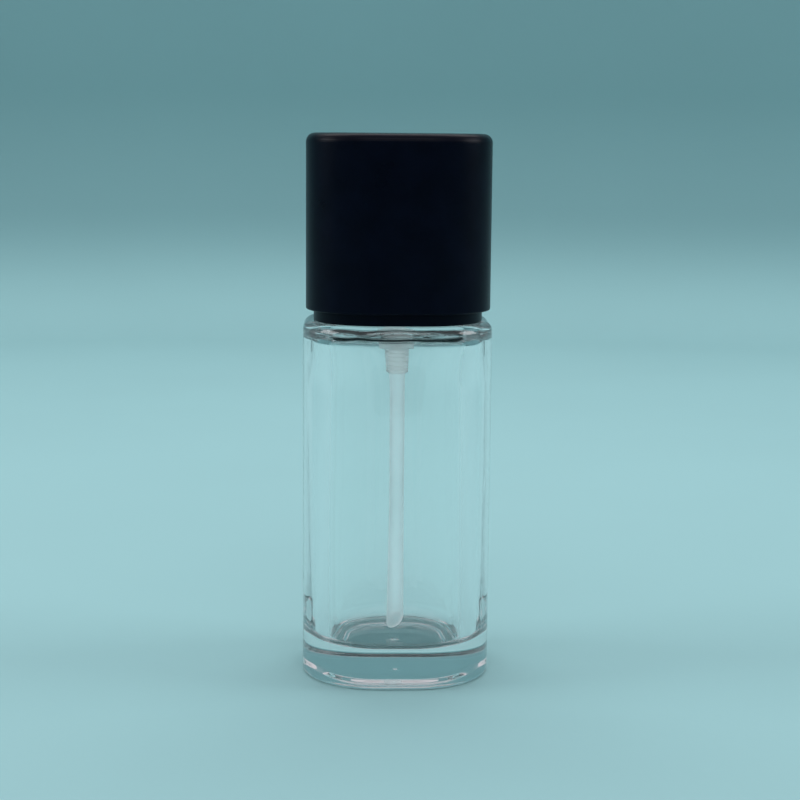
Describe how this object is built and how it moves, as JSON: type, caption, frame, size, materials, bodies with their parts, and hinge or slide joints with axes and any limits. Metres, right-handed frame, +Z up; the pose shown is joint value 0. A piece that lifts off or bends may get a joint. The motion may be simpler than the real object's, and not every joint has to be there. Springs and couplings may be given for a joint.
{
  "type": "foundation bottle",
  "caption": "Soft-square clear glass bottle with a screw-on cream pump, a square collar and a pull-off square cap over the pump's button.",
  "frame": {"origin": "centre of the base, on the plane that the foot ring stands on", "axes": "+Z up along the bottle's axis, -Y the front that the nozzle faces, +X to the right"},
  "size_m": [0.035, 0.035, 0.1007],
  "materials": {
    "clear_glass": "polished clear flint glass",
    "satin_black": "fine satin black",
    "liner_black": "moulded black polypropylene",
    "natural_plastic": "translucent natural polypropylene",
    "tube_plastic": "translucent natural polyethylene",
    "seal_plastic": "smooth white polyethylene",
    "gasket_foam": "closed-cell white foam",
    "spring_steel": "drawn stainless wire",
    "ball_steel": "polished stainless steel"
  },
  "bodies": {
    "bottle": {"glass_bottle": "clear_glass"},
    "pump": {"pump_housing": "natural_plastic", "neck_gasket": "gasket_foam", "stem_guide": "natural_plastic", "stem_seal": "seal_plastic", "dip_tube": "tube_plastic", "return_spring": "spring_steel"},
    "closure": {"screw_closure": "natural_plastic", "collar_shroud": "satin_black"},
    "cap": {"outer_cap": "satin_black", "cap_liner": "liner_black"},
    "piston": {"piston": "seal_plastic"},
    "actuator": {"pump_stem": "natural_plastic", "stem_plug": "seal_plastic", "actuator_core": "natural_plastic", "button_shell": "satin_black", "nozzle_insert": "natural_plastic"},
    "ball": {"inlet_ball": "ball_steel"}
  },
  "joints": [
    {"name": "pump_lift", "type": "slide", "parent": "bottle", "child": "pump", "axis": [0, 0, 1], "range_m": [0, 0.0048]},
    {"name": "closure_turn", "type": "hinge", "parent": "pump", "child": "closure", "pos_m": [0, 0, 0.0742], "axis": [0, 0, 1], "range_deg": [0, 540]},
    {"name": "cap_pull", "type": "slide", "parent": "closure", "child": "cap", "axis": [0, 0, 1], "range_m": [0, 0.04]},
    {"name": "actuator_press", "type": "slide", "parent": "pump", "child": "piston", "axis": [0, 0, -1], "range_m": [0, 0.0042], "stiffness_N_per_m": 800, "springref_m": -0.003, "deforming": ["return_spring"]},
    {"name": "actuator_swivel", "type": "hinge", "parent": "piston", "child": "actuator", "pos_m": [0, 0, 0.0776], "axis": [0, 0, 1], "continuous": true},
    {"name": "ball_lift", "type": "slide", "parent": "pump", "child": "ball", "axis": [0, 0, 1], "range_m": [0, 0.0008]}
  ],
  "couplings": [
    {"joint": "pump_lift", "follows": "closure_turn", "m_per_rad": 0.00050532}
  ]
}
